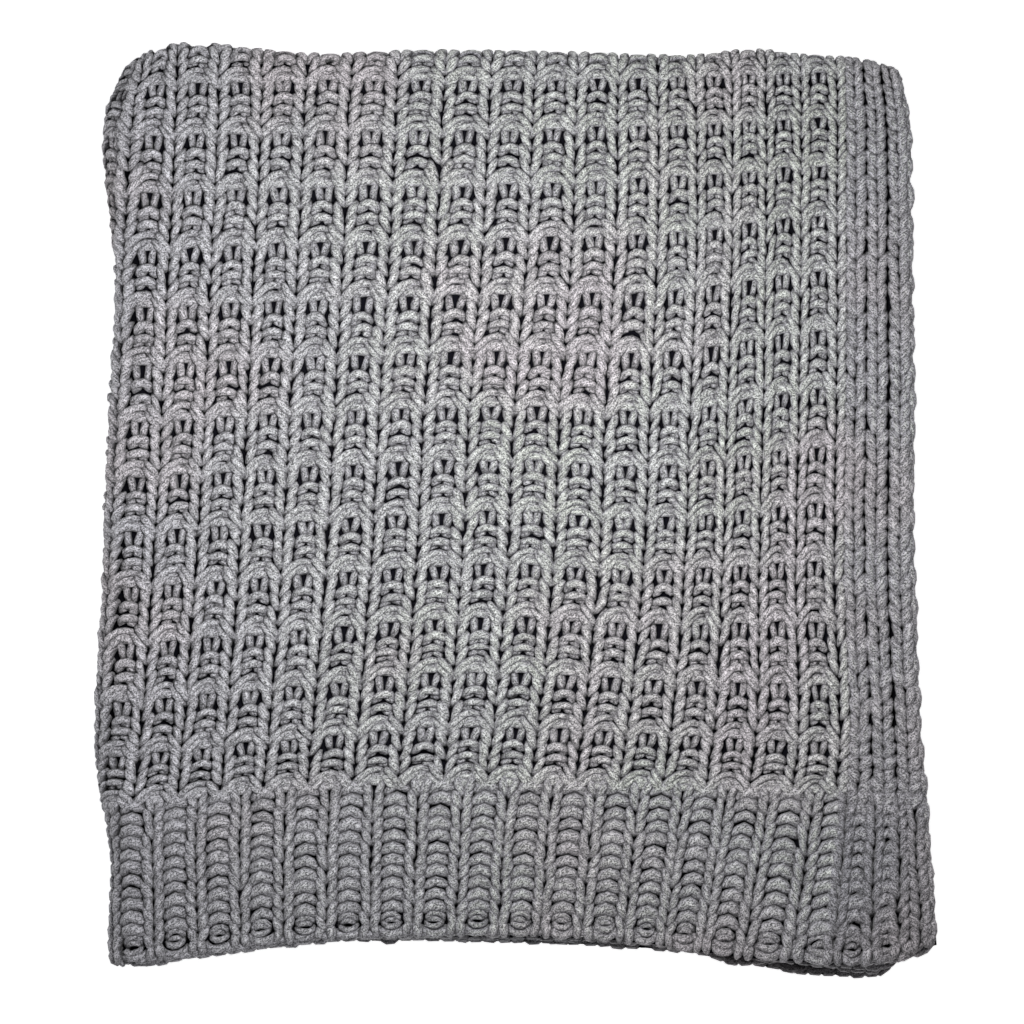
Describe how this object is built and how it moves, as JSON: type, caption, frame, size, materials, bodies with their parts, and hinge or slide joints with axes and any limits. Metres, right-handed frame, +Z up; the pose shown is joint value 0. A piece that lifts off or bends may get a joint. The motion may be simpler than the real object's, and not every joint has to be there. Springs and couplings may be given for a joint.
{
  "type": "throw blanket",
  "caption": "Knit throw blanket in a waffle stitch with ribbed ends and plain side borders, folded in half twice and laid flat",
  "frame": {"origin": "under the middle of the folded throw's footprint, on the surface it lies on", "axes": "+X across, from the fold on the left to the side borders on the right; +Y from the ribbed hems to the top fold; +Z up"},
  "size_m": [0.6749, 0.7398, 0.063],
  "materials": {
    "yarn": "matt, slightly fuzzy grey yarn"
  },
  "bodies": {
    "root": {"knit_throw": "yarn"}
  },
  "joints": []
}
